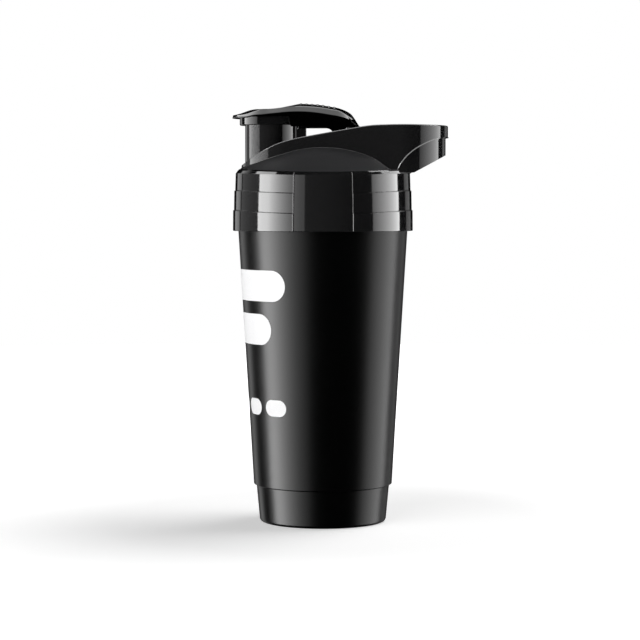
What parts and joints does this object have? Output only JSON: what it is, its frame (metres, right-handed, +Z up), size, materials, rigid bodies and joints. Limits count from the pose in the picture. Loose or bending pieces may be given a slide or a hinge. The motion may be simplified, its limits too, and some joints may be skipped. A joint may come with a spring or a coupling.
{
  "type": "protein shaker bottle",
  "caption": "Tapered drinking shaker with a screw lid, domed top, spout under a flip cap, side carry loop, clip-in mixing grid and loose wire whisk ball.",
  "frame": {"origin": "centre of the cup's foot, on the plane it stands on", "axes": "+Z up along the cup's axis, -X towards the drinking spout, +X towards the carry loop, +Y completes the right-handed frame"},
  "size_m": [0.1201, 0.1006, 0.2341],
  "materials": {
    "cup_satin_black": "satin moulded black with a very fine grain",
    "lid_gloss_black": "polished gloss black moulding",
    "inner_moulding": "plain satin dark grey moulding",
    "seal_silicone": "soft dark grey silicone",
    "stainless_wire": "drawn stainless steel",
    "print_white": "thin screen-printed white ink"
  },
  "bodies": {
    "cup": {"cup": "cup_satin_black"},
    "ball": {"whisk_ball": "stainless_wire"},
    "gasket": {"lid_gasket": "seal_silicone"},
    "lid": {"lid_shell": "lid_gloss_black", "loop_upper_shell": "lid_gloss_black", "loop_lower_shell": "lid_gloss_black", "hinge_pin": "stainless_wire"},
    "grid": {"mixing_grid": "inner_moulding"},
    "cap": {"flip_cap": "lid_gloss_black", "spout_plug": "inner_moulding", "spout_seal": "seal_silicone", "vent_seal": "seal_silicone"}
  },
  "joints": [
    {"name": "ball_travel", "type": "slide", "parent": "cup", "child": "ball", "axis": [0, 0, 1], "range_m": [0, 0.1]},
    {"name": "lid_lift", "type": "slide", "parent": "cup", "child": "gasket", "axis": [0, 0, 1], "range_m": [0, 0.0361]},
    {"name": "lid_turn", "type": "hinge", "parent": "gasket", "child": "lid", "pos_m": [0, 0, 0.19], "axis": [0, 0, 1], "range_deg": [0, 2160]},
    {"name": "grid_pull", "type": "slide", "parent": "lid", "child": "grid", "axis": [0, 0, -1], "range_m": [0, 0.012]},
    {"name": "cap_flip", "type": "hinge", "parent": "lid", "child": "cap", "pos_m": [0.014, 0, 0.2185], "axis": [0, 1, 0], "range_deg": [0, 120]}
  ],
  "couplings": [
    {"joint": "lid_lift", "follows": "lid_turn", "m_per_rad": 0.00095493}
  ]
}
